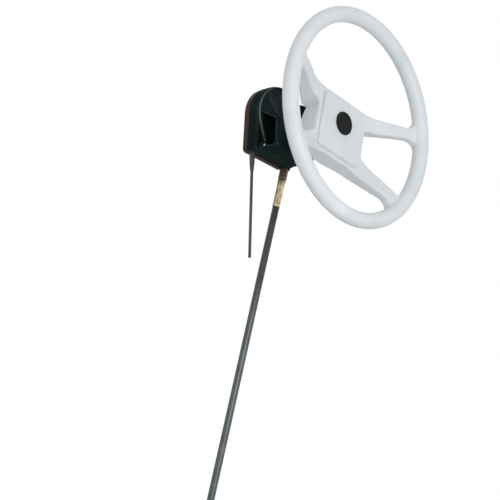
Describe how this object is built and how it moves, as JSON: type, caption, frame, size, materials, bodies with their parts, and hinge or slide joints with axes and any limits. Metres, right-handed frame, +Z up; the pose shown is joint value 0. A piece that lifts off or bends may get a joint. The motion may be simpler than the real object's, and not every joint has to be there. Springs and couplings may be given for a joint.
{
  "type": "boat steering helm",
  "caption": "Boat steering helm: dished four-spoke wheel on a geared rotary drum housing that drives a push-pull steering cable out to a sliding output ram.",
  "frame": {"origin": "on the wheel shaft's axis, in the plane of the mounting pad's back face", "axes": "+Y out of the back of the pad into the dash, so the shaft runs along -Y towards the helmsman; +X to the helmsman's right; +Z up"},
  "size_m": [0.6872, 0.2035, 0.9166],
  "materials": {
    "pad_wood": "varnished, satin",
    "zinc_steel": "zinc plated",
    "housing_plastic": "moulded, semi-gloss",
    "acetal": "turned, satin",
    "bronze": "sintered, oiled",
    "cast_drum": "die cast, machined teeth",
    "shaft_steel": "machined, oiled",
    "spring_steel": "black oxide",
    "hub_metal": "machined",
    "wheel_plastic": "moulded, satin sheen",
    "cap_plastic": "moulded, semi-gloss",
    "core_wire": "wound wire, greased",
    "yellow_zinc": "yellow zinc plated",
    "grey_plastic": "moulded, satin",
    "tube_grey": "extruded, satin",
    "cable_jacket": "extruded, satin",
    "tie_plastic": "moulded nylon, satin",
    "stainless": "polished"
  },
  "bodies": {
    "helm_body": {"mounting_pad": "pad_wood", "mounting_inserts": "bronze", "rear_casing": "housing_plastic", "drum_cover": "housing_plastic", "front_housing": "housing_plastic", "casing_screws": "zinc_steel", "drum_axle": "zinc_steel", "axle_nut": "zinc_steel", "drum_washer": "acetal", "rear_bush": "bronze", "front_bush": "bronze", "cable_core": "core_wire", "inlet_nut": "yellow_zinc", "cable_ferrule": "yellow_zinc", "spent_collar": "grey_plastic", "spent_tube": "tube_grey", "steering_cable": "cable_jacket", "cable_coil": "cable_jacket", "coil_ties": "tie_plastic", "output_ferrule": "yellow_zinc", "output_nut": "stainless", "guide_tube": "stainless"},
    "wheel": {"steering_wheel": "wheel_plastic", "hub_cover": "wheel_plastic", "centre_cap": "cap_plastic", "hub_insert": "hub_metal", "wheel_washer": "zinc_steel", "wheel_nut": "zinc_steel", "input_shaft": "shaft_steel", "shaft_key": "spring_steel", "drive_pinion": "shaft_steel", "shaft_circlip": "spring_steel"},
    "drum": {"cable_drum": "cast_drum", "drum_bush": "bronze"},
    "ram": {"output_ram": "stainless", "ram_end": "stainless"}
  },
  "joints": [
    {"name": "wheel_spin", "type": "hinge", "parent": "helm_body", "child": "wheel", "pos_m": [0, 0, 0], "axis": [0, -1, 0], "range_deg": [-545, 553]},
    {"name": "drum_spin", "type": "hinge", "parent": "helm_body", "child": "drum", "pos_m": [0, 0, 0.027], "axis": [0, -1, 0], "range_deg": [-137, 139]},
    {"name": "ram_slide", "type": "slide", "parent": "helm_body", "child": "ram", "axis": [1, 0, 0], "range_m": [-0.1151, 0.1134]}
  ],
  "couplings": [
    {"joint": "drum_spin", "follows": "wheel_spin", "ratio": 0.25},
    {"joint": "ram_slide", "follows": "wheel_spin", "m_per_rad": -0.0119}
  ]
}
